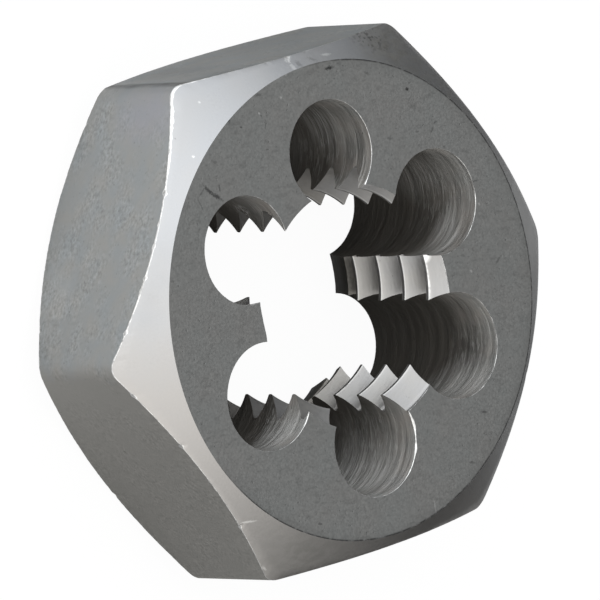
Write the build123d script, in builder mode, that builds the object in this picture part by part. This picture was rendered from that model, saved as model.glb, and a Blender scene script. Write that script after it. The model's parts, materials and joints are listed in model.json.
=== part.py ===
from build123d import *
import os
from math import radians, sqrt, tan

# A hexagon threading die: one hardened steel blank, bored, drilled and threaded.
# Z is the thread's axis and the back face lies on Z = 0. Two flats face +X and -X. Lengths are in mm.

# Blank
across_flats = 35.0
thickness = 12.9
corner_radius = 1.3  # rounding along the six upright edges
front_face_diameter = 33.3  # inside edge of the front chamfer
back_face_diameter = 33.3
chamfer_angle = 35.2  # degrees between either chamfer and its end face

# Thread that the die cuts: M18 x 2.5, right-handed
pitch = 2.5
major_diameter = 18.6  # across the groove's floor, which clears the bolt's 18
flank_angle = 60.0  # degrees between the two flanks of a tooth
crest_flat = 0.31  # width of a tooth's tip, along the axis
groove_floor = 0.3  # width of the groove's bottom, along the axis
thread_start = 0.73  # height of one groove's middle where it crosses +X

# Tapered mouth on the back, where the teeth are cut back so that the die starts on a bar
back_mouth_diameter = 19.3
back_mouth_angle = 23.2  # degrees between the cone and the axis

# Clearance holes, which part the thread into cutting lands
hole_count = 6
hole_diameter = 7.5
hole_circle_diameter = 20.5
hole_angle = -2.8  # degrees from +X to the first hole

# Worked out from the sizes above
corner_reach = across_flats / sqrt(3)  # from the axis to a sharp corner
front_drop = (corner_reach - front_face_diameter / 2) * tan(radians(chamfer_angle))
back_rise = (corner_reach - back_face_diameter / 2) * tan(radians(chamfer_angle))
flank_slope = tan(radians(flank_angle / 2))
crest_radius = major_diameter / 2 - (pitch - crest_flat - groove_floor) / 2 / flank_slope
cutter_radius = crest_radius - crest_flat / 2  # the groove's cutter reaches into the open bore
half_floor = groove_floor / 2
half_mouth = half_floor + (major_diameter / 2 - cutter_radius) * flank_slope
back_mouth_depth = back_mouth_diameter / 2 / tan(radians(back_mouth_angle))  # to the cone's point
hole_spacing = 360 / hole_count
groove_arc = 0.9 * hole_spacing  # from inside one clearance hole to inside the next
extra_turns = 2  # turns of thread cut beyond each face, so that the groove runs out through it
turns = int(thickness / pitch) + 2 * extra_turns

# One land's share of a groove: the V carried round the axis from +X
with BuildPart() as land_groove:
    with BuildLine() as groove_path:
        Helix(pitch, pitch * groove_arc / 360, crest_radius)
    with BuildSketch(Plane.XZ) as groove_profile:
        with BuildLine():
            Polyline(
                (cutter_radius, -half_mouth),
                (major_diameter / 2, -half_floor),
                (major_diameter / 2, half_floor),
                (cutter_radius, half_mouth),
                close=True,
            )
        make_face()
    sweep(path=groove_path.line, is_frenet=True)

# The places of all grooves, which follow one helix from below the back face to above the front face
groove_places = []
for step in range(turns * hole_count):
    angle = hole_angle + (hole_spacing - groove_arc) / 2 + step * hole_spacing
    height = thread_start + pitch * (angle / 360 - extra_turns)
    groove_places.append(Location((0, 0, height), angle))

with BuildPart() as threading_die:
    # Hexagon bar, its upright edges eased
    with BuildSketch(Plane.XY) as hexagon:
        RegularPolygon(across_flats / 2, 6, major_radius=False, rotation=30)
        fillet(hexagon.vertices(), corner_radius)
    extrude(amount=thickness)

    # Turned chamfers on both ends, which leave the curved edges on the flats
    with BuildSketch(Plane.XZ) as chamfers:
        with BuildLine():
            Polyline(
                (front_face_diameter / 2, thickness),
                (corner_reach, thickness - front_drop),
                (corner_reach, thickness),
                close=True,
            )
        make_face()
        with BuildLine():
            Polyline(
                (back_face_diameter / 2, 0),
                (corner_reach, back_rise),
                (corner_reach, 0),
                close=True,
            )
        make_face()
    revolve(axis=Axis.Z, mode=Mode.SUBTRACT)

    # Bore at the teeth's tips, and the clearance holes round it
    with BuildSketch(Plane.XY) as holes:
        Circle(crest_radius)
        with PolarLocations(hole_circle_diameter / 2, hole_count, start_angle=hole_angle):
            Circle(hole_diameter / 2)
    extrude(amount=thickness, mode=Mode.SUBTRACT)

    # Thread
    with Locations(*groove_places):
        add(land_groove.part, mode=Mode.SUBTRACT)

    # Back mouth
    with BuildSketch(Plane.XZ) as back_mouth:
        with BuildLine():
            Polyline((0, 0), (back_mouth_diameter / 2, 0), (0, back_mouth_depth), close=True)
        make_face()
    revolve(axis=Axis.Z, mode=Mode.SUBTRACT)

threading_die.part.label = "threading_die"

os.makedirs("parts", exist_ok=True)
export_step(threading_die.part, "parts/threading_die.step")
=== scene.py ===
import bpy
import numpy as np
from math import atan2, cos, pi, radians, sin, tan
from mathutils import Matrix, Vector
from mathutils.geometry import tessellate_polygon
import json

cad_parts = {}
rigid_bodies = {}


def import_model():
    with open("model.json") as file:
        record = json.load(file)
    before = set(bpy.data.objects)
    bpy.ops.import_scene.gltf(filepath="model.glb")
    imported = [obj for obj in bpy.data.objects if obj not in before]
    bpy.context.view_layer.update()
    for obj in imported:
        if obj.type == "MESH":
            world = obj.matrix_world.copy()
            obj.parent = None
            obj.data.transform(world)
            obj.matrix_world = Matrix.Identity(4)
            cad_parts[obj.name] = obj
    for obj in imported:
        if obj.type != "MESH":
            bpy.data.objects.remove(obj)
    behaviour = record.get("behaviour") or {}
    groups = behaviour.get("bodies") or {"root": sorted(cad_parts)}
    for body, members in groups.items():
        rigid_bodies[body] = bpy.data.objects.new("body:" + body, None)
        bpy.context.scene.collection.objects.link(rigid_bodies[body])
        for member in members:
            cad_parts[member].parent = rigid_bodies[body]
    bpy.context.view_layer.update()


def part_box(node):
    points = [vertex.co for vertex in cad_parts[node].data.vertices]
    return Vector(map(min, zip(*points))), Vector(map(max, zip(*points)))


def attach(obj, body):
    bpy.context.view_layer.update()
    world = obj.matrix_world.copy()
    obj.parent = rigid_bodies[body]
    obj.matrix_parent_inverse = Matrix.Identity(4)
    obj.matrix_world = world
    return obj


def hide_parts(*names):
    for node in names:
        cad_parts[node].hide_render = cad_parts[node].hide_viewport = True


# A hexagon threading die of hardened steel, lying on its back face.
# Its thread's axis is Z, and its front face is up. All lengths are in metres.

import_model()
low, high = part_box("threading_die")
mm = 0.001
turn = 2 * pi
sixth = turn / 6
height = high[2] - low[2]
halfWidth = (high[0] - low[0]) / 2
leastWear = 0.004 * mm  # no worn edge or rim is narrower
print("frame loaded: die", round(height / mm, 2), "mm thick")


def sizes(*numbers):
    return tuple(n * mm for n in numbers)


# Degrees from a middle given in degrees to angles in radians, from -180 to 180
def degreesFrom(middle, angle):
    return (np.degrees(angle) - middle + 180) % 360 - 180


# Smooth repeatable noise round the axis: random values at evenly spread angles, joined by a cosine ease
def ringNoise(angle, knots, seed):
    values = np.random.default_rng(seed).uniform(-1, 1, knots)
    place = (angle / turn % 1) * knots
    first = np.floor(place).astype(int)
    ease = (1 - np.cos((place - first) * pi)) / 2
    return values[first % knots] * (1 - ease) + values[(first + 1) % knots] * ease


# Lower of two arrays, with the crossing rounded over a short length
def softLower(a, b, soft):
    return np.minimum(a, b) - soft * np.exp(-np.abs(a - b) / soft) / 2


def softHigher(a, b, soft):
    return -softLower(-a, -b, soft)


# Nicks and longer rubs along the edges: angle and half length in degrees, and wear added in millimetres
backNicks = [(156.7, 0.5, 0.22), (245.9, 0.6, 0.16), (202, 0.7, 0.1), (20, 0.8, 0.2), (88, 0.7, 0.18),
             (310, 0.8, 0.15)]
blank = {
    "cornerRadius": 1.3 * mm,  # of the six upright edges
    "frontRing": 16.65 * mm,  # where the front face ends and its chamfer starts
    "frontSlope": tan(radians(35.7)),
    "frontCentre": (0.16 * mm, 0.04 * mm),  # the front chamfer was turned a little off the hexagon's middle
    "backRing": 16.53 * mm,
    "backSlope": tan(radians(36.4)),
    # how far the edges between flats and chamfers are rubbed down on each side, and how unevenly
    "frontOnFlat": {
        "wear": 0.035 * mm, "noise": 0.8, "seed": 3,
        "nicks": [(120, 20, -0.03), (156, 8, 0.05), (190, 16, 0.035), (171.8, 0.6, 0.17), (179, 0.4, 0.1),
                  (184, 0.6, 0.1), (191.3, 0.4, 0.14), (194, 0.7, 0.12), (202.8, 0.5, 0.16), (208, 3, 0.04),
                  (215.9, 0.6, 0.17), (218, 0.3, 0.1), (230.1, 0.5, 0.17), (235, 0.3, 0.08), (241, 0.4, 0.1),
                  (255, 0.4, 0.14), (123.5, 0.7, 0.2), (129, 0.7, 0.06), (118, 0.5, 0.08), (300, 3, 0.04),
                  (358.4, 0.8, 0.2), (41, 0.6, 0.14), (75, 0.6, 0.12)],
    },
    "frontOnChamfer": {
        "wear": 0.03 * mm, "noise": 0.45, "seed": 5,
        "nicks": [(120, 20, -0.026), (153, 6, 0.19), (163, 7, 0.1), (190, 16, 0.04), (171.8, 0.5, 0.15),
                  (184, 0.5, 0.08), (191.3, 0.4, 0.13), (202.8, 0.4, 0.12), (215.9, 0.5, 0.14),
                  (230.1, 0.4, 0.14), (255, 0.4, 0.12), (123.5, 0.6, 0.26), (358.4, 0.8, 0.1)],
    },
    "backOnFlat": {"wear": 0.06 * mm, "noise": 0.8, "seed": 8, "nicks": backNicks},
    "backOnChamfer": {"wear": 0.05 * mm, "noise": 0.8, "seed": 8, "nicks": backNicks},
    "slowKnots": 90,  # of the wear's noise, round the whole hexagon
    "slowShare": 0.4,
    "fineKnots": 640,
    "fineShare": 0.6,
    "wearFlatness": 0.5,  # 0 for a round edge, 1 for a flat strip
    "flatSteps": 150,  # columns along each flat
    "cornerSteps": 16,
    "chamferRows": 4,
    "edgeRows": 6,
    "flatRows": 5,
}


# Distance of the hexagon's outline from the axis: each flat is a straight line, each corner an arc.
# Also gives the angle from a flat's middle at which the arc starts.
def outlineReach(angle, cornerRadius):
    fromFlat = (angle + sixth / 2) % sixth - sixth / 2
    straight = halfWidth / np.cos(fromFlat)
    arcCentre = (halfWidth - cornerRadius) / cos(sixth / 2)
    fromCorner = sixth / 2 - np.abs(fromFlat)
    side = arcCentre * np.sin(fromCorner)
    arc = arcCentre * np.cos(fromCorner) + np.sqrt(np.maximum(cornerRadius ** 2 - side ** 2, 0))
    arcStarts = atan2(arcCentre / 2, halfWidth)
    return np.where(np.abs(fromFlat) > arcStarts, arc, straight), arcStarts


# Wear of an edge at each angle: an even share and the nicks as round bumps, uneven by slow and fine noise
def edgeWear(angle, side, b):
    wear = side["wear"]
    for middle, halfLength, extra in side["nicks"]:
        wear = wear + extra * mm * np.exp(-(degreesFrom(middle, angle) / halfLength) ** 2)
    slow = b["slowShare"] * ringNoise(angle, b["slowKnots"], side["seed"])
    fine = b["fineShare"] * ringNoise(angle, b["fineKnots"], side["seed"] + 1)
    return np.maximum(wear * (1 + side["noise"] * (slow + fine)), leastWear)


# Rows of the outer skin: front ring, chamfer, worn edge, flat, worn edge, back chamfer, back ring.
# Each row is a loop of points, one for each column's angle.
def outerSkin(b):
    arcStarts = outlineReach(np.zeros(1), b["cornerRadius"])[1]
    flatPart = np.linspace(-arcStarts, arcStarts, b["flatSteps"], endpoint=False)
    cornerPart = np.linspace(arcStarts, sixth - arcStarts, b["cornerSteps"], endpoint=False)
    sector = np.concatenate([flatPart, cornerPart])
    angle = (sector[None] + np.arange(6)[:, None] * sixth).ravel()
    reach = outlineReach(angle, b["cornerRadius"])[0]
    heading = np.stack([np.cos(angle), np.sin(angle)], -1)

    def at(xy, level):
        return np.concatenate([xy, np.broadcast_to(level, len(xy))[:, None]], axis=1)

    # a chamfer's ring on its face, and where its cone meets the hexagon
    def ringAndEdge(centre, radius, slope, faceLevel, side):
        xy = heading * reach[:, None]
        drop = (np.linalg.norm(xy - centre, axis=1) - radius) * slope
        return at(heading * radius + centre, faceLevel), at(xy, faceLevel + side * drop)

    ring, edge = ringAndEdge(np.array(b["frontCentre"]), b["frontRing"], b["frontSlope"], height, -1)
    backRing, backEdge = ringAndEdge(np.zeros(2), b["backRing"], b["backSlope"], 0.0, 1)

    def unit(v):
        return v / np.linalg.norm(v, axis=1)[:, None]

    def straightRows(start, end, rows):
        t = np.linspace(0, 1, rows + 1)[:-1, None, None]
        return start + (end - start) * t

    # quadratic curve that rounds a corner between two points on its sides, pulled towards a flat strip
    def rounded(start, corner, end, rows):
        t = np.linspace(0, 1, rows)[:-1, None, None]
        pulled = corner + ((start + end) / 2 - corner) * b["wearFlatness"]
        return (1 - t) ** 2 * start + 2 * t * (1 - t) * pulled + t ** 2 * end

    def wearOf(side):
        return edgeWear(angle, b[side], b)[:, None]

    up = np.array([0, 0, 1.0])
    edgeStart = edge + unit(ring - edge) * wearOf("frontOnChamfer")
    edgeEnd = edge - up * wearOf("frontOnFlat")
    backStart = backEdge + up * wearOf("backOnFlat")
    backEnd = backEdge + unit(backRing - backEdge) * wearOf("backOnChamfer")
    parts = [
        ("chamfer", straightRows(ring, edgeStart, b["chamferRows"])),
        ("edge", rounded(edgeStart, edge, edgeEnd, b["edgeRows"])),
        ("flat", straightRows(edgeEnd, backStart, b["flatRows"])),
        ("edge", rounded(backStart, backEdge, backEnd, b["edgeRows"])),
        ("chamfer", straightRows(backEnd, backRing, b["chamferRows"])),
        ("chamfer", backRing[None]),
    ]
    names = [name for name, rows in parts for row in rows]
    return np.concatenate([rows for name, rows in parts]), names[:-1]


finishes = ["groundFace", "turnedChamfer", "milledFlat", "wornEdge", "drilledHole", "cutThread"]
finishOf = {"face": 0, "chamfer": 1, "flat": 2, "edge": 3, "hole": 4, "thread": 5}
boreCentre = np.array([0.05, 0.12, 0]) * mm  # thread and holes sit this far off the hexagon's middle

thread = {
    "pitch": 2.5 * mm,
    "majorRadius": 9.3 * mm,
    "profile": tan(pi / 6),  # of a 60 degree thread: half the groove's width over its depth
    "halfFloor": 0.15 * mm,  # half the width of a groove's floor
    "crestFlat": 0.31 * mm,
    "start": 0.62 * mm,  # height of one groove's middle at +X
    "soft": 0.022 * mm,  # rounding of crests and roots
    "mouthRadius": 9.65 * mm,  # of the cone on the back face
    "mouthSlope": tan(radians(23.2)),
    "rowsPerPitch": 24,
    "spareRows": 1.5,  # pitches of rows beyond each end
    "landSteps": 10,
    # front corners of the land nearest -X, rubbed back: angle and half angle in degrees, depth of the rub
    # and radius gained
    "worn": [(193, 13, 0.8 * mm, 0.45 * mm), (220, 3, 0.7 * mm, 0.2 * mm)],
}

holes = {
    "radius": 3.74 * mm,
    "circleRadius": 10.19 * mm,
    "firstAngle": radians(-2.8),
    "roughAway": radians(19.0),  # about the angle from a hole's middle to a land's edge
    "solveSteps": 12,  # for the exact angle
    "plainHalf": radians(108),  # half of the wall's arc that keeps its columns upright
    "plainSteps": 36,
    "sideSteps": 4,
    "rim": 0.035 * mm,  # height of the small round where walls meet the end faces
    "rimWidth": 0.02 * mm,  # its mean width, which changes along the rim by fine and slow noise
    "rimKnots": 420,
    "slowRimKnots": 60,
    "slowRimShare": 0.6,
    "rimSeed": 11,
    "rimRows": 3,
    "cornerPower": 6,  # how fast the back rim narrows where it bends
    # rubbed places on the front rims: place, half length along the rim, and width, in millimetres
    "rubs": [(7.2, -6.0, 0.4, 0.07), (7.75, -6.9, 0.6, 0.13), (8.1, -8.45, 0.35, 0.2),
             (7.95, -9.6, 0.8, 0.04), (-2.2, -9.1, 0.6, 0.06), (-1.5, 7.7, 0.5, 0.16),
             (6.9, 11.2, 0.5, 0.05), (9.4, 9.6, 0.7, 0.04)],
}


# Radius of the threaded wall: a V groove along a helix with flat floor and crests, rubbed back at a land's
# front corners and widened by the back's cone
def threadRadius(angle, level, t):
    turns = (level - t["start"]) / t["pitch"] - angle / turn
    away = np.abs(turns - np.round(turns)) * t["pitch"]
    crest = t["majorRadius"] - (t["pitch"] / 2 - t["crestFlat"] / 2 - t["halfFloor"]) / t["profile"]
    flank = t["majorRadius"] - (away - t["halfFloor"]) / t["profile"]
    groove = softHigher(softLower(flank, t["majorRadius"], t["soft"]), crest, t["soft"])
    for middle, half, depth, gained in t["worn"]:
        aside = degreesFrom(middle, angle) / half
        groove = groove + gained * np.exp(-aside ** 2 - ((height - level) / depth) ** 2)
    return softHigher(groove, t["mouthRadius"] - level * t["mouthSlope"], t["soft"])


# The inner wall as a grid. Its rows climb with the thread and stop at the two ends, its columns go round
# land, hole, land, hole. Each land's edges lie where its thread radius meets the holes' circles.
def innerWall(t, h):
    rowsEach = t["rowsPerPitch"]
    count = int(height / t["pitch"] + 2 * t["spareRows"]) * rowsEach
    base = (np.arange(count) / rowsEach - t["spareRows"]) * t["pitch"]
    firstHole = h["firstAngle"]
    rim = h["rim"]

    def levelAt(angle):
        return np.clip(base + t["pitch"] * (angle - firstHole) / turn, rim, height - rim)

    # how much wider the front rim is rubbed at each place
    def rubbed(x, y):
        total = 0
        for rubX, rubY, half, width in h["rubs"]:
            apart = (x - rubX * mm) ** 2 + (y - rubY * mm) ** 2
            total = total + width * mm * np.exp(-apart / (half * mm) ** 2)
        return total

    # angle between a hole's middle and the land's edge, solved in a few steps, and the edge's radius
    def edgeAngle(middle, side):
        away = np.full(count, h["roughAway"])
        for step in range(h["solveSteps"]):
            r = threadRadius(middle + side * away, levelAt(middle + side * away), t)
            reached = r ** 2 + h["circleRadius"] ** 2 - h["radius"] ** 2
            away = np.arccos(reached / (2 * r * h["circleRadius"]))
        return away, r

    # the same edge as an angle round the hole's own axis
    def edgeAlpha(away, radius, side):
        return np.arctan2(side * radius * np.sin(away), radius * np.cos(away) - h["circleRadius"])

    columns, names = [], []
    for k in range(6):
        middle = firstHole + k * sixth
        awayIn, radiusIn = edgeAngle(middle, -1)
        awayOut, radiusOut = edgeAngle(middle, 1)
        alphaIn = edgeAlpha(awayIn, radiusIn, -1)
        alphaOut = edgeAlpha(awayOut, radiusOut, 1)
        plain = np.linspace(-h["plainHalf"], h["plainHalf"], h["plainSteps"] + 1)
        share = np.arange(h["sideSteps"]) / h["sideSteps"]
        alphas = [alphaIn + (plain[0] - alphaIn) * s for s in share]
        alphas += [np.full(count, a) for a in plain]
        alphas += [plain[-1] + (alphaOut - plain[-1]) * s for s in share[1:]]
        for alpha in alphas:
            passed = (alpha - alphaIn) / (alphaOut - alphaIn)
            level = levelAt(middle - awayIn + (awayIn + awayOut) * passed)
            along = h["circleRadius"] + h["radius"] * np.cos(alpha)
            across = h["radius"] * np.sin(alpha)
            x = along * cos(middle) - across * sin(middle)
            y = along * sin(middle) + across * cos(middle)
            columns.append(np.stack([x, y, np.minimum(level, height - rim - rubbed(x, y))], -1))
            names.append("hole")
        nextIn = edgeAngle(middle + sixth, -1)[0]
        start, end = middle + awayOut, middle + sixth - nextIn
        for s in np.arange(t["landSteps"] + (k == 5)) / t["landSteps"]:
            angle = start + (end - start) * s
            level = levelAt(angle)
            r = threadRadius(angle, level, t)
            columns.append(np.stack([r * np.cos(angle), r * np.sin(angle), level], -1))
            names.append("thread")
    wall = np.stack(columns, axis=1)

    # share of the back rim's width left beside corners, so that its loop doesn't cross itself there
    def straightness(loop):
        ahead = np.roll(loop[:-1, :2], -1, axis=0) - loop[:-1, :2]
        ahead /= np.linalg.norm(ahead, axis=1)[:, None]
        straight = np.clip((ahead * np.roll(ahead, 1, axis=0)).sum(axis=1), 0, 1) ** h["cornerPower"]
        straight = np.minimum(straight, np.minimum(np.roll(straight, 1), np.roll(straight, -1)))
        return np.concatenate([straight, straight[:1]])

    # small round at a rim, away from the opening: a quarter ellipse whose width changes along the rim
    def rimRows(loop, side):
        step = np.roll(loop[:-1, :2], -1, axis=0) - np.roll(loop[:-1, :2], 1, axis=0)
        outward = np.stack([step[:, 1], -step[:, 0]], -1)
        outward /= np.linalg.norm(outward, axis=1)[:, None] + 1e-12  # so that no step divides by zero
        outward = np.concatenate([outward, outward[:1]])
        run = np.cumsum(np.linalg.norm(np.diff(loop[:, :2], axis=0, prepend=loop[:1, :2]), axis=1))
        around = run / run[-1] * turn
        fine = ringNoise(around, h["rimKnots"], h["rimSeed"])
        slow = h["slowRimShare"] * ringNoise(around, h["slowRimKnots"], h["rimSeed"] + 1)
        width = h["rimWidth"] * (1 + fine + slow)
        end = height if side > 0 else 0
        depth = np.abs(end - loop[:, 2])[None]
        if side < 0:
            width = width * straightness(loop)
        width = np.maximum(width[None], leastWear) + depth - rim
        a = (np.arange(h["rimRows"]) + 1)[:, None] * pi / 2 / h["rimRows"]
        xy = loop[None, :, :2] + outward[None] * (width * (1 - np.cos(a)))[:, :, None]
        z = end - side * depth * (1 - np.sin(a))
        return np.concatenate([xy, z[:, :, None]], -1)

    bottom, top = wall[0], wall[-1]
    rows = np.concatenate([rimRows(bottom, -1)[::-1], wall, rimRows(top, 1)])
    finish = np.array([finishOf[n] for n in names[:-1]])[None].repeat(len(rows) - 1, axis=0)
    finish[:h["rimRows"]] = finish[-h["rimRows"]:] = finishOf["edge"]
    return rows + boreCentre, finish


# Two triangles for each cell of a grid whose points are numbered row by row from start
def gridTriangles(rows, cols, start, closed):
    ids = start + np.arange(rows * cols).reshape(rows, cols)
    if closed:
        ids = np.concatenate([ids, ids[:, :1]], axis=1)
    a, b, c, d = ids[:-1, :-1], ids[:-1, 1:], ids[1:, 1:], ids[1:, :-1]
    quads = np.stack((a, d, c, b), -1)
    return np.stack([quads[..., [0, 1, 2]], quads[..., [0, 2, 3]]], axis=2)


# A flat end between the outer ring and the opening, as triangles on those two loops
def endFace(points, outerIds, innerIds, facesUp):
    loops = [[Vector(p) for p in points[ids]] for ids in (outerIds, innerIds)]
    triangles = np.concatenate([outerIds, innerIds])[np.array(tessellate_polygon(loops))]
    a, b, c = points[triangles[:, 0]], points[triangles[:, 1]], points[triangles[:, 2]]
    up = np.cross(b - a, c - a)[:, 2] > 0
    return np.where((up == facesUp)[:, None], triangles, triangles[:, ::-1])


meshLimits = {
    "weld": 0.0005 * mm,  # points nearer to each other than this become one
    "sharpFrom": radians(32),
    "flush": 1e-9,  # how far off an end's level a point still counts as on it
}


# Smooth shading, with edges sharp where the surface bends much and all over the two flat ends
def setShading(mesh, points, limits):
    mesh.polygons.foreach_set("use_smooth", np.ones(len(mesh.polygons), bool))
    mesh.update()
    mesh.set_sharp_from_angle(angle=limits["sharpFrom"])
    ends = np.empty(len(mesh.edges) * 2, int)
    mesh.edges.foreach_get("vertices", ends)
    level = points[ends.reshape(-1, 2), 2]
    onFront = (np.abs(level - height) < limits["flush"]).all(axis=1)
    onBack = (np.abs(level) < limits["flush"]).all(axis=1)
    sharp = np.empty(len(mesh.edges), bool)
    mesh.edges.foreach_get("use_edge_sharp", sharp)
    mesh.edges.foreach_set("use_edge_sharp", sharp | onFront | onBack)


def buildDie():
    skin, skinNames = outerSkin(blank)
    wall, wallFinish = innerWall(thread, holes)
    skinRows, skinCols = skin.shape[:2]
    wallRows, wallCols = wall.shape[:2]
    wallStart = skinRows * skinCols
    points = np.concatenate([skin.reshape(-1, 3), wall.reshape(-1, 3)])
    skinCells = gridTriangles(skinRows, skinCols, 0, True)
    wallCells = gridTriangles(wallRows, wallCols, wallStart, False)
    rowFinish = np.array([finishOf[n] for n in skinNames])[:, None, None]
    skinFinish = rowFinish * np.ones(skinCells.shape[:3], int)
    wallFinish = wallFinish[:, :, None] * np.ones(wallCells.shape[:3], int)
    triangles = np.concatenate([skinCells.reshape(-1, 3), wallCells.reshape(-1, 3)])
    finish = np.concatenate([skinFinish.ravel(), wallFinish.ravel()])

    # weld points that coincide, and drop triangles that this closes up
    keys = np.round(points / meshLimits["weld"]).astype(np.int64)
    firstAt, number = np.unique(keys, axis=0, return_index=True, return_inverse=True)[1:]
    number = number.ravel()
    points = points[firstAt]
    triangles = number[triangles]
    whole = (triangles != np.roll(triangles, 1, axis=1)).all(axis=1)
    triangles, finish = triangles[whole], finish[whole]

    # loop of an end face, each point once and in order
    def loopIds(first, count):
        ids = number[first + np.arange(count)]
        return ids[ids != np.roll(ids, 1)]

    outerTop = loopIds(0, skinCols)
    outerBottom = loopIds((skinRows - 1) * skinCols, skinCols)
    innerBottom = loopIds(wallStart, wallCols - 1)
    innerTop = loopIds(wallStart + (wallRows - 1) * wallCols, wallCols - 1)
    top = endFace(points, outerTop, innerTop, True)
    bottom = endFace(points, outerBottom, innerBottom, False)
    triangles = np.concatenate([triangles, top, bottom])
    finish = np.concatenate([finish, np.full(len(top) + len(bottom), finishOf["face"])])

    mesh = bpy.data.meshes.new("dieBody")
    mesh.from_pydata(points, [], triangles)
    mesh.polygons.foreach_set("material_index", finish)
    setShading(mesh, points, meshLimits)
    body = bpy.data.objects.new("dieBody", mesh)
    bpy.context.collection.objects.link(body)
    print("die body:", len(points), "points,", len(triangles), "triangles")
    return body


# Short forms for the nodes of one tree. A value is a number, a tuple or another node's output.
class Wiring:
    def __init__(self, tree):
        self.nodes = tree.nodes
        self.links = tree.links

    def join(self, value, socket):
        if isinstance(value, bpy.types.NodeSocket):
            self.links.new(value, socket)
        elif socket.type == "RGBA":
            socket.default_value = (*value, 1)
        else:
            socket.default_value = value

    def fed(self, node, output, values):
        for socket, value in values.items():
            self.join(value, node.inputs[socket])
        return node.outputs[output]

    def ranged(self, value, start, end, first=0, last=1, smooth=False):
        node = self.nodes.new("ShaderNodeMapRange")
        node.interpolation_type = "SMOOTHSTEP" if smooth else "LINEAR"
        ends = {"From Min": start, "From Max": end, "To Min": first, "To Max": last}
        return self.fed(node, "Result", {"Value": value, **ends})

    def calculated(self, kind, one, other):
        node = self.nodes.new("ShaderNodeMath")
        node.operation = kind
        return self.fed(node, "Value", {0: one, 1: other})

    def vector(self, kind, output, values):
        node = self.nodes.new("ShaderNodeVectorMath")
        node.operation = kind
        return self.fed(node, output, values)

    def mixed(self, factor, one, other, kind="RGBA"):
        node = self.nodes.new("ShaderNodeMix")
        node.data_type = kind
        return self.fed(node, "Result", {"Factor": factor, "A": one, "B": other})

    def place(self, kind):
        return self.nodes.new("ShaderNodeTexCoord").outputs[kind]

    def cameraRay(self):
        return self.nodes.new("ShaderNodeLightPath").outputs["Is Camera Ray"]


# Where each pattern of the steel sets in and where it is full, on a noise or on a distance in half spans
between = {
    "patch": (0.35, 0.65),
    "cluster": (0.42, 0.62),
    "speckle": (0.25, 0.75),
    "smudge": (0.56, 0.7),
    "zoneReach": (0.65, 1.55),
    "zoneFill": (0.38, 0.6),
    "scarReach": (0.5, 1.4),
    "ragged": (0.3, 0.7),
    "brokenLine": (0.3, 0.5),
    "rough": (0.3, 0.7),
}
rise = 0.04  # the same for pits and bright marks
scarDepth = 6  # mm, so that a scar looks the same all through the surface
pitSunk = 0.02 * mm
zoneUneven = 0.6
raggedBy = 0.4
raggedGrain = sizes(0.14, 0.14, 0.14)


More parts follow.
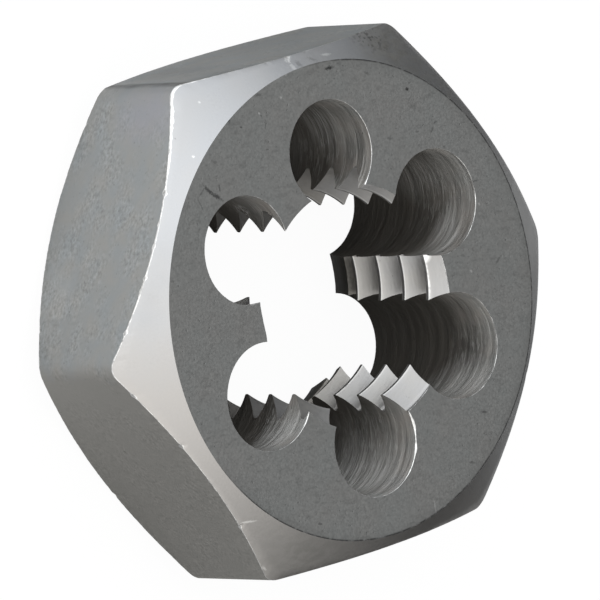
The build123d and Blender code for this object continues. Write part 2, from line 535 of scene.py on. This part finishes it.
# One steel for every finish. Patterns are noise on Object coordinates, with their grain sizes in metres:
# two tints in patches, speckle in clusters, bright marks, painted shade that deepens below the front face,
# zones (some of them painted light and shade), smudges, pits, scars, rubbed crests and a dark ring line of
# painted shade, then uneven roughness and a bump.
def steel(name, look):
    material = bpy.data.materials.new(name)
    material.use_nodes = True
    w = Wiring(material.node_tree)
    shader = w.nodes["Principled BSDF"]
    shader.inputs["Metallic"].default_value = 1
    place = w.place("Object")

    # Object coordinates moved, turned and measured in the given sizes
    def placed(grain, turned=(0, 0, 0), middle=(0, 0, 0)):
        mapping = w.nodes.new("ShaderNodeMapping")
        mapping.vector_type = "TEXTURE"
        values = {"Location": middle, "Rotation": turned, "Scale": grain, "Vector": place}
        return w.fed(mapping, "Vector", values)

    def noise(grain, detail=2, turned=(0, 0, 0)):
        texture = w.nodes.new("ShaderNodeTexNoise")
        return w.fed(texture, "Fac", {"Scale": 1, "Detail": detail, "Vector": placed(grain, turned)})

    # distance from a middle, in spans
    def distance(spans, turned, middle):
        return w.vector("LENGTH", "Value", {0: placed(spans, (0, 0, radians(turned)), middle)})

    def times(one, other):
        return w.calculated("MULTIPLY", one, other)

    def plus(one, other):
        return w.calculated("ADD", one, other)

    axes = w.nodes.new("ShaderNodeSeparateXYZ")
    w.links.new(place, axes.inputs["Vector"])
    patches = noise(look["patch"], 3)
    toWarm = w.ranged(patches, *between["patch"], 0, look["warmShare"])
    clusters = w.ranged(noise(look["cluster"], 2), *between["cluster"], *look["clusterShow"])
    if "warmBelow" in look:
        # the sides that face -Y are warmer and calmer
        below = w.ranged(axes.outputs["Y"], *look["warmBelow"])
        toWarm = plus(toWarm, below)
        clusters = times(clusters, w.ranged(below, 0, 1, 1, look["calm"]))
    colour = w.mixed(toWarm, look["cool"], look["warm"])
    grain = noise(look["grain"], 3, look["turned"])
    speckle = w.ranged(grain, *between["speckle"], -look["speckle"], look["speckle"])
    colour = w.vector("SCALE", "Vector", {0: colour, "Scale": plus(times(speckle, clusters), 1)})
    marks = noise(look["mark"], 2, look["turned"])
    marks = w.ranged(marks, look["markFrom"], look["markFrom"] + rise, 0, look["markShow"])
    colour = w.mixed(times(marks, clusters), colour, brightMark)
    for start, end, shade, tint in look["deepShade"]:
        # painted shade: a dark, warm tint that starts below the front face and thickens downwards, standing
        # in for the shade deep in the holes and grooves
        uneven = times(w.calculated("SUBTRACT", patches, 0.5), look["deepShadeNoise"])
        deepShadeShare = w.ranged(plus(axes.outputs["Z"], uneven), height - start, height - end, 0, shade)
        colour = w.mixed(deepShadeShare, colour, tint)
    ragged = w.ranged(noise(raggedGrain, 2), *between["ragged"], -raggedBy, raggedBy)
    for middle, spans, turned, tint, share, fleck, least in look["zones"]:
        # an ellipsoid with an uneven border, filled unevenly by a finer noise
        reach = plus(distance(sizes(*spans), turned, sizes(*middle)), times(patches, zoneUneven))
        filled = w.ranged(noise(sizes(*fleck), 2, look["turned"]), *between["zoneFill"], least, share)
        colour = w.mixed(times(w.ranged(reach, *between["zoneReach"], 1, 0), filled), colour, tint)
    smudges = noise(look["smudge"], 3, look["turned"])
    smudges = w.ranged(smudges, *between["smudge"], 0, look["smudgeShow"])
    colour = w.mixed(smudges, colour, darkMarkAndShade)
    pits = w.ranged(noise(look["pit"], 1), look["pitFrom"], look["pitFrom"] + rise)
    colour = w.mixed(times(pits, look["pitDepth"]), colour, darkMarkAndShade)
    for x, y, length, width, turned, shade in look["scars"]:
        reach = distance(sizes(length / 2, width / 2, scarDepth), turned, (x * mm, y * mm, height))
        scar = w.ranged(plus(reach, ragged), *between["scarReach"], abs(shade), 0)
        colour = w.mixed(scar, colour, brightMark if shade > 0 else darkMarkAndShade)
    for start, end, first, last in look["rubbed"]:
        # barer steel by distance from the bore's axis
        reach = distance((mm, mm, 1.0), 0, tuple(boreCentre))
        colour = w.mixed(w.ranged(reach, start, end, first, last), colour, bareSteelAndPaintedLight)
    if "ring" in look:
        # painted shade: a thin dark line where the face ends at its chamfer, broken by noise, with a faint
        # band inside it, both shown only on the +X side, away from the bright light
        ring = look["ring"]
        radius = ring["radius"]
        reach = distance((radius, radius, 1.0), 0, (*blank["frontCentre"], 0))
        line = w.ranged(reach, 1 - ring["line"] / radius, 1 - ring["lineFull"] * ring["line"] / radius)
        broken = w.ranged(noise(ring["grain"], 3), *between["brokenLine"], *ring["lineShade"])
        shown = w.ranged(axes.outputs["X"], *ring["shownFrom"])
        colour = w.mixed(times(times(line, broken), shown), colour, darkMarkAndShade)
        band = w.ranged(reach, 1 - ring["band"] / radius, 1, 0, ring["bandShade"])
        colour = w.mixed(times(band, shown), colour, darkMarkAndShade)
    w.links.new(colour, shader.inputs["Base Color"])
    w.links.new(w.ranged(grain, *between["rough"], *look["rough"]), shader.inputs["Roughness"])

    cutHeight = times(noise(look["cut"], 4, look["turned"]), look["cutDepth"])
    grainHeight = times(noise(look["grain"], 4), look["grainDepth"])
    sunk = times(pits, look["pitDepth"] * pitSunk)
    level = w.calculated("SUBTRACT", plus(cutHeight, grainHeight), sunk)
    bump = w.fed(w.nodes.new("ShaderNodeBump"), "Normal", {"Strength": 1, "Distance": 1, "Height": level})
    w.links.new(bump, shader.inputs["Normal"])
    return material


# dark colour for marks and dirt, and also for painted shade
darkMarkAndShade = (0.05, 0.05, 0.05)
brightMark = (0.8, 0.8, 0.79)
# bare worn steel, and also painted light where walls, a chamfer and the back's cone are brightened
bareSteelAndPaintedLight = (0.74, 0.74, 0.73)
chipBright = (0.95, 0.95, 0.94)
stain = (0.09, 0.085, 0.075)
plainSteel = {
    "cool": (0.325, 0.335, 0.33),
    "warm": (0.335, 0.335, 0.325),
    "warmShare": 1,
    "patch": sizes(3, 3, 3),
    "speckle": 0.055,  # how far the grain lightens and darkens
    "grain": sizes(0.16, 0.16, 0.16),
    "grainDepth": 0.006 * mm,
    "rough": (0.34, 0.46),  # where the grain is low and where it is high
    "cluster": sizes(2, 2, 2),
    "clusterShow": (0.6, 1.5),  # strength of speckle and bright marks outside and inside the clusters
    "pit": sizes(0.3, 0.3, 0.3),
    "pitFrom": 0.76,
    "pitDepth": 0.5,
    "smudge": sizes(0.7, 0.35, 0.7),
    "smudgeShow": 0,
    "mark": sizes(2.5, 0.06, 2.5),
    "markFrom": 0.8,
    "markShow": 0,
    "cut": sizes(1, 1, 1),  # tool marks, in the bump alone
    "cutDepth": 0,
    "turned": (0, 0, radians(25)),
    # painted shade that darkens with depth below the front face, and how unevenly it starts
    "deepShadeNoise": 2 * mm,
    "deepShade": [],  # start and end below the front face, greatest share, and tint
    "rubbed": [],  # radii in millimetres, and shares of bare steel at them
    "scars": [],  # x, y, length and width in millimetres, turn in degrees, and strength, above 0 if bright
    # middle and half spans in millimetres, turn in degrees, tint, greatest share, grain in millimetres and
    # least share: one well below 0 leaves only sparse flecks
    "zones": [],
}
looks = {
    "groundFace": {
        "cool": (0.326, 0.332, 0.327), "warm": (0.333, 0.332, 0.325),
        "pit": sizes(0.24, 0.24, 0.24), "pitFrom": 0.715, "pitDepth": 0.25, "speckle": 0.055,
        "smudgeShow": 0.16,
        # painted shade at the edge of the face, on the side away from the light
        "ring": {
            "radius": blank["frontRing"],
            "line": 0.13 * mm,  # width
            "lineFull": 0.3,  # share of the width that is full
            "lineShade": (0.1, 0.85),  # where broken and where whole
            "grain": sizes(0.4, 0.4, 9),
            "band": 0.9 * mm,
            "bandShade": 0.14,
            "shownFrom": (-9 * mm, -5 * mm),  # it is missing on the -X side
        },
        "scars": [(0.90, 15.48, 0.3, 0.26, 0, -0.9), (-6.36, 14.79, 0.75, 0.24, 28, -0.85),
                  (-2.93, 15.47, 0.4, 0.18, 0, -0.4), (-14.49, 3.58, 0.9, 0.24, -21, -0.7),
                  (-13.7, 3.39, 1.0, 0.28, -7, -0.75), (-13.6, 4.02, 0.6, 0.13, -65, -0.5),
                  (-15.02, 3.32, 0.9, 0.13, 68, -0.35), (-14.92, 2.46, 0.9, 0.12, -43, -0.35),
                  (-11.97, 11.14, 0.65, 0.2, 17, -0.4), (-9.98, 11.56, 0.2, 0.16, 0, 0.4),
                  (-11.58, 9.93, 0.2, 0.16, 0, 0.5), (-11.37, 9.85, 0.2, 0.12, 0, -0.6),
                  (-12.87, 8.55, 0.2, 0.12, 0, -0.6), (-10.81, 9.35, 0.7, 0.1, -82, -0.4),
                  (-14.55, 5.59, 0.55, 0.22, 2, -0.3), (0.27, 11.71, 0.5, 0.2, 8, -0.35),
                  (1.82, 14.42, 0.6, 0.3, 0, -0.25), (4.06, 14.04, 0.35, 0.15, 43, -0.4),
                  (1.3, 14.9, 0.4, 0.12, 70, -0.3), (2.6, 12.9, 0.35, 0.14, 20, -0.3),
                  (5.3, 12.6, 0.3, 0.14, 0, -0.35), (3.89, 13.41, 0.5, 0.15, 82, -0.45),
                  (1.36, -15.64, 0.3, 0.13, 15, -0.6), (13.92, -4.17, 0.5, 0.15, 15, -0.55),
                  (13.79, -7.87, 0.5, 0.2, 7, -0.4), (8.67, 11.13, 0.7, 0.12, 28, -0.45),
                  (12.28, 6.42, 0.6, 0.2, 64, -0.35), (9.5, 9.7, 0.25, 0.16, -20, 0.4),
                  (10.04, 4.98, 0.25, 0.2, -21, 0.4), (11.21, -11.71, 0.9, 0.14, -62, 0.3),
                  (-14.07, 8.68, 0.35, 0.22, -21, -0.7), (-10.04, 13.44, 0.6, 0.13, -74, 0.6)],
    },
    "turnedChamfer": {
        "cool": (0.345, 0.35, 0.36), "warm": (0.362, 0.352, 0.344), "warmShare": 0.3, "speckle": 0.035,
        "rough": (0.3, 0.4), "grainDepth": 0.004 * mm, "pitFrom": 0.8,
        "warmBelow": (-6 * mm, -11 * mm), "calm": 1,
        "scars": [(-9.71, 14.6, 0.8, 0.36, -84, 0.8), (-9.35, 13.9, 0.5, 0.3, -60, 0.3),
                  (-8.9, 14.3, 0.5, 0.3, -25, -0.3), (-7.82, 14.99, 0.6, 0.22, 3, -0.25),
                  (-6.63, 15.69, 0.75, 0.16, 22, 0.35), (-7.96, 15.68, 0.75, 0.16, 28, 0.4),
                  (-4.39, -17.05, 0.9, 0.14, 25, 0.6), (-1.05, -19.45, 0.5, 0.16, -17, 0.5),
                  (-16.11, 5.52, 0.17, 0.15, 0, 0.5), (-15.81, 9.49, 0.15, 0.13, 0, 0.35)],
        # painted light: the first place is a brighter patch where the chamfer faces +X and +Y
        "zones": [((14.2, 10.7, 12), (5, 5, 4), 0, bareSteelAndPaintedLight, 0.42, (2, 2, 2), 0.34),
                  ((17.2, -4.6, 12), (2.5, 3, 4), 0, bareSteelAndPaintedLight, 0.26, (2, 2, 2), 0.2),
                  ((17.1, 1.0, 12.6), (1, 3, 2), 0, darkMarkAndShade, 0.26, (1, 1, 1), 0.22),
                  ((-8.6, 14.9, 12.4), (3.6, 1.6, 2), 30, darkMarkAndShade, 0.1, (0.6, 0.6, 0.6), 0.05),
                  ((-16.9, -3.6, 12.4), (1.4, 3.6, 2), 0, darkMarkAndShade, 0.07, (1, 1, 1), 0.05),
                  ((1.6, -18.2, 11.8), (4.4, 2.2, 3), 0, (0.16, 0.17, 0.15), 0.24, (0.8, 0.5, 0.8), 0.06),
                  # warm stains and dark blotches by the +Y corner
                  ((-0.6, 18.2, 11.8), (3.2, 3, 3), 0, (0.33, 0.315, 0.28), 0.6, (0.9, 0.6, 0.9), 0.3),
                  ((-1.2, 18.2, 11.8), (3, 3, 3), 0, darkMarkAndShade, 0.13, (0.8, 0.5, 0.8), -0.04),
                  ((-2.4, 18.4, 11.6), (1.8, 1.5, 1.5), 0, darkMarkAndShade, 0.5, (0.3, 0.3, 0.3), -2),
                  ((5, 15.5, 12), (4, 3, 3), -25, (0.36, 0.345, 0.31), 0.35, (0.9, 0.6, 0.9), 0.12)],
    },
    "milledFlat": {
        "cool": (0.27, 0.284, 0.29), "warm": (0.292, 0.288, 0.276), "patch": sizes(2.2, 2.2, 1.6),
        "warmShare": 0.7, "warmBelow": (-9.5 * mm, -11 * mm), "calm": 0.5, "cluster": sizes(2.8, 2.8, 2),
        "clusterShow": (0.35, 1.5), "speckle": 0.22, "grain": sizes(0.28, 0.28, 0.19),
        "grainDepth": 0.01 * mm, "rough": (0.5, 0.62), "pit": sizes(0.3, 0.3, 0.2), "pitFrom": 0.715,
        "pitDepth": 0.21, "mark": sizes(0.2, 0.2, 0.14), "markFrom": 0.72, "markShow": 0.12,
        # painted shade: a dark line along the corner between -X and +Y, a dark reflection in its round, and
        # darker places on the flat behind it; and a bluish and a barer place on the -X flat
        "zones": [((-16.66, 10.6, 6.45), (0.6, 0.55, 20), 0, darkMarkAndShade, 0.8, (1, 1, 2), 0.5),
                  ((-14.8, 11.6, 6.45), (3.2, 1, 20), 30, darkMarkAndShade, 0.14, (1, 1, 1), 0.1),
                  ((-8.75, 15.16, 6.45), (11, 0.8, 20), 30, darkMarkAndShade, 0.08, (2, 2, 2), 0.05),
                  ((-17.5, 8.2, 8.5), (1, 2.2, 3.4), 0, (0.3, 0.3, 0.335), 0.55, (1, 1, 1), 0.4),
                  ((-12.8, 12.8, 4.4), (3, 2.4, 3.8), 0, darkMarkAndShade, 0.15, (1, 1, 1), 0.1),
                  ((-17.5, -4.8, 2.4), (1, 3, 2), 0, bareSteelAndPaintedLight, 0.11, (1, 1, 1), 0.06)],
    },
    "wornEdge": {
        "cool": (0.6, 0.6, 0.6), "warm": (0.6, 0.6, 0.59), "rough": (0.3, 0.42), "pitDepth": 0.0,
        "speckle": 0.4, "grain": sizes(0.3, 0.3, 0.3),
        "zones": [((-3.2, 18.6, 11.3), (4.2, 2.6, 1.6), 30, darkMarkAndShade, 0.75, (0.3, 0.3, 0.3), 0.1)],
    },
    "drilledHole": {
        "cool": (0.36, 0.365, 0.36), "warm": (0.39, 0.37, 0.35), "rough": (0.62, 0.8), "speckle": 0.13,
        "grain": sizes(5, 5, 0.3), "cut": sizes(7, 7, 0.5), "cutDepth": 0.1 * mm,
        "patch": sizes(2.2, 2.2, 2.2), "turned": (radians(3), radians(2), 0),
        "mark": sizes(6, 6, 0.15), "markFrom": 0.64, "markShow": 0.4,
        # painted shade: the walls darken and brown from 0.6 mm to 4.6 mm below the front face, as shade
        # deepens in the holes
        "deepShade": [(0.6 * mm, 4.6 * mm, 0.85, (0.13, 0.12, 0.105))], "deepShadeNoise": 5 * mm,
        # painted light: brighter walls on the sides that face the light, cut bright in rings, and one darker
        # place
        "zones": [((8.1, -10.5, 8.2), (3, 3, 4.6), 0, bareSteelAndPaintedLight, 0.85, (4, 4, 0.13), 0.36),
                  ((13.5, -2.3, 9.8), (2.1, 2.1, 3), 0, bareSteelAndPaintedLight, 0.74, (4, 4, 0.14), 0.3),
                  ((9.2, 7.5, 10.6), (2, 2.4, 1.5), 0, bareSteelAndPaintedLight, 0.75, (4, 4, 0.14), 0.25),
                  ((8, 11.6, 7.9), (2, 2, 4.5), 0, bareSteelAndPaintedLight, 0.3, (4, 4, 0.14), 0.1),
                  ((-2, 11.8, 8.8), (2.2, 2.2, 2.6), 0, bareSteelAndPaintedLight, 0.45, (4, 4, 0.14), 0.1),
                  ((-2.1, -10, 11), (2.2, 2.2, 1.9), 0, bareSteelAndPaintedLight, 0.8, (4, 4, 0.14), 0.3),
                  ((8.0, -7.2, 8), (1.5, 1.7, 4), 0, bareSteelAndPaintedLight, 0.22, (4, 4, 0.14), 0.04),
                  ((-1.5, 10.8, 5), (1.6, 2.2, 1.8), 0, bareSteelAndPaintedLight, 0.14, (4, 4, 0.14), 0.05),
                  ((13.8, 0.6, 9.4), (1.4, 2, 1.7), 0, darkMarkAndShade, 0.24, (4, 4, 0.14), 0.12),
                  # flecks
                  ((-8.5, 3.9, 9.5), (0.7, 0.7, 0.6), 0, bareSteelAndPaintedLight, 0.8, (0.3, 0.3, 0.12), -0.3),
                  ((-2, -9.2, 10), (1.8, 2.4, 2.4), 0, bareSteelAndPaintedLight, 0.55, (0.7, 0.7, 0.1), -2),
                  ((8.7, 10.2, 9.6), (2.2, 2.8, 3.2), 0, bareSteelAndPaintedLight, 0.36, (0.8, 0.8, 0.09), -1.6),
                  ((8.3, -9, 8.5), (2.4, 3, 4), 0, bareSteelAndPaintedLight, 0.55, (0.8, 0.8, 0.09), -2.2),
                  ((13.7, -0.4, 10.4), (2.2, 2.8, 2.6), 0, bareSteelAndPaintedLight, 0.42, (0.8, 0.8, 0.09), -1.7),
                  ((-1.3, 10.4, 9), (2, 2.6, 4), 0, bareSteelAndPaintedLight, 0.32, (0.9, 0.9, 0.09), -1.5),
                  # bright foot of the walls beside one land, and a chip beside another
                  ((-1.2, 7.7, 11.9), (0.6, 1.2, 0.8), 0, bareSteelAndPaintedLight, 1.0, (1, 1, 0.12), 0.5),
                  ((-1.2, 7.7, 9.6), (0.6, 1.2, 0.9), 0, bareSteelAndPaintedLight, 1.0, (1, 1, 0.12), 0.1),
                  ((6.0, 4.95, 12.3), (0.45, 0.45, 0.4), 0, chipBright, 1.0, (0.4, 0.4, 0.4), 0.9)],
    },
    "cutThread": {
        "cool": (0.347, 0.345, 0.346), "warm": (0.36, 0.352, 0.34), "rough": (0.4, 0.5),
        "grain": sizes(0.4, 0.4, 0.08), "cut": sizes(3, 3, 0.12), "cutDepth": 0.008 * mm,
        "turned": (0, 0, 0),
        # painted shade: the thread darkens with depth below the front face, and more near the back's cone
        "deepShade": [(5 * mm, 12.5 * mm, 0.7, (0.205, 0.183, 0.15)),
                  (10.7 * mm, 11.5 * mm, 0.6, (0.12, 0.11, 0.1))],
        "rubbed": [(7.69, 7.76, 0.3, 0)],
        # the first crest is chipped at one end and bright along its edge, the back's cone is painted bright,
        # standing in for light it doesn't get, and one land's last groove is stained
        "zones": [((6.02, 4.9, 12.34), (0.5, 0.46, 0.4), 0, chipBright, 1.0, (0.4, 0.4, 0.4), 0.9),
                  ((0, 0, 0), (20, 20, 1.6), 0, bareSteelAndPaintedLight, 0.9, (2, 2, 2), 0.8),
                  ((8.4, 4.4, 0.9), (2, 2.4, 0.9), 0, stain, 0.3, (1, 1, 1), 0.26),
                  ((7.95, 4.1, 2.6), (2.5, 3.6, 0.7), 0, stain, 0.7, (0.3, 0.3, 0.3), 0.5),
                  ((6.75, 3.75, 12.15), (1.5, 0.16, 0.2), -62, (0.9, 0.9, 0.89), 0.8, (0.3, 0.3, 0.3), 0.2)],
    },
}

die = buildDie()
for name in finishes:
    die.data.materials.append(steel(name, {**plainSteel, **looks[name]}))
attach(die, "root")
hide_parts("threading_die")
print("die dressed")

# Camera at the photograph's angle: above the -X side, turned on its own axis so that +Y is up in the picture
view = {
    "target": (0.758 * mm, 0.253 * mm, 6.45 * mm),
    "azimuth": radians(-73.55),
    "elevation": radians(49.19),
    "roll": radians(89.39),
    "distance": 582.86 * mm,
    "lens": 502.1,
    "sensor": 36,
    "clipStart": 0.01,
}


def placeCamera(v):
    level = Vector((-sin(v["azimuth"]), cos(v["azimuth"]), 0))
    forward = level * cos(v["elevation"]) - Vector((0, 0, sin(v["elevation"])))
    plainRight = Vector((level.y, -level.x, 0))
    plainUp = plainRight.cross(forward)
    right = plainRight * cos(v["roll"]) + plainUp * sin(v["roll"])
    up = plainUp * cos(v["roll"]) - plainRight * sin(v["roll"])
    camera = bpy.data.objects.new("camera", bpy.data.cameras.new("camera"))
    bpy.context.collection.objects.link(camera)
    matrix = Matrix((right, up, -forward)).transposed().to_4x4()
    matrix.translation = Vector(v["target"]) - forward * v["distance"]
    camera.matrix_world = matrix
    camera.data.lens = v["lens"]
    camera.data.sensor_width = v["sensor"]
    camera.data.clip_start = v["clipStart"]
    bpy.context.scene.camera = camera


placeCamera(view)

light = {
    "bright": 1.95,  # of the bright side
    "brightFrom": -0.45,  # place along the light's axis, from 1 on the dark side to -1
    "darkFrom": 1.0,
    "fall": 1.2,
    "axisTurn": radians(8),  # the dark side's direction, from +X towards +Y
    "lamp": (-0.45, 0.45, 0.77),  # direction of a wide soft lamp
    "lampReach": radians(55),
    "lampShare": 0.54,
    "warm": (1.0, 0.985, 0.955),  # tint from -Y
    "cool": (0.955, 0.98, 1.0),  # tint from +Y
    "tintReach": 0.7,  # how far towards -Y and +Y the tints are full
}


# Soft light that grows from +X to -X, as beside a large white screen, and a wide lamp
def softLight(l):
    world = bpy.data.worlds.new("studio")
    bpy.context.scene.world = world
    world.use_nodes = True
    w = Wiring(world.node_tree)
    background = w.nodes["Background"]
    place = w.place("Generated")

    def along(direction):
        return w.vector("DOT_PRODUCT", "Value", {0: place, 1: Vector(direction).normalized()})

    share = w.ranged(along((cos(l["axisTurn"]), sin(l["axisTurn"]), 0)), l["darkFrom"], l["brightFrom"])
    screen = w.calculated("MULTIPLY", w.calculated("POWER", share, l["fall"]), l["bright"])
    lamp = w.ranged(along(l["lamp"]), cos(l["lampReach"]), 1, 0, l["lampShare"], True)
    tint = w.mixed(w.ranged(along((0, 1, 0)), -l["tintReach"], l["tintReach"]), l["warm"], l["cool"])
    ray = w.cameraRay()
    # the camera sees plain white beyond the floor
    w.links.new(w.mixed(ray, tint, (1, 1, 1)), background.inputs["Color"])
    w.links.new(w.mixed(ray, w.calculated("ADD", screen, lamp), 1, "FLOAT"), background.inputs["Strength"])


softLight(light)

floorLook = {
    "size": 3.0,
    "level": -0.02 * mm,  # just under the die's back face
    "white": 0.92,  # paper as the camera sees it
    "grey": 0.36,  # paper as the steel mirrors it
    # painted light and shade on the paper as the steel sees it: a pool of light, a fall into the dark
    # further off, and shade under the die
    "pool": (-0.045, 0.008, 0),  # where the light falls brightest on it
    "poolGrey": 0.56,  # added there
    "poolFrom": 0.012,
    "poolTo": 0.05,
    "fadeFrom": 0.09,  # beyond this the paper falls into the dark
    "fadeTo": 0.125,
    "farGrey": 0.05,
    # painted shade under the die
    "under": -0.25,  # added under the die
    "underFrom": 0.011,
    "underTo": 0.016,
    "glow": 0.95,  # share of plain white that the camera sees over the lit paper
}


def layFloor(f):
    s = f["size"] / 2
    mesh = bpy.data.meshes.new("floor")
    corners = [(x, y, f["level"]) for x, y in ((-s, -s), (s, -s), (s, s), (-s, s))]
    mesh.from_pydata(corners, [], [(0, 1, 2, 3)])
    material = bpy.data.materials.new("palePaper")
    material.use_nodes = True
    w = Wiring(material.node_tree)
    w.nodes.remove(w.nodes["Principled BSDF"])
    place = w.place("Object")

    # smooth step of the distance from a point of the floor
    def fade(middle, start, end, first, last):
        reach = w.vector("DISTANCE", "Value", {0: place, 1: middle})
        return w.ranged(reach, start, end, first, last, True)

    # painted light and shade: the grey fades into the dark far off, a pool of light is added beside the die,
    # and shade under it
    plain = fade(f["pool"], f["fadeFrom"], f["fadeTo"], f["grey"], f["farGrey"])
    pool = fade(f["pool"], f["poolFrom"], f["poolTo"], f["poolGrey"], 0)
    under = fade((0, 0, 0), f["underFrom"], f["underTo"], f["under"], 0)
    ray = w.cameraRay()
    paintedLight = w.calculated("ADD", w.calculated("ADD", plain, pool), under)
    grey = w.mixed(ray, paintedLight, f["white"], "FLOAT")
    paper = w.nodes.new("ShaderNodeBsdfDiffuse")
    w.links.new(grey, paper.inputs["Color"])
    glow = w.nodes.new("ShaderNodeEmission").outputs["Emission"]
    mix = w.nodes.new("ShaderNodeMixShader")
    glowing = w.calculated("MULTIPLY", ray, f["glow"])
    seen = w.fed(mix, "Shader", {"Fac": glowing, 1: paper.outputs["BSDF"], 2: glow})
    w.links.new(seen, w.nodes["Material Output"].inputs["Surface"])
    mesh.materials.append(material)
    floor = bpy.data.objects.new("floor", mesh)
    bpy.context.collection.objects.link(floor)


layFloor(floorLook)
bpy.context.scene.view_settings.view_transform = "Standard"
print("camera, light and floor in place")
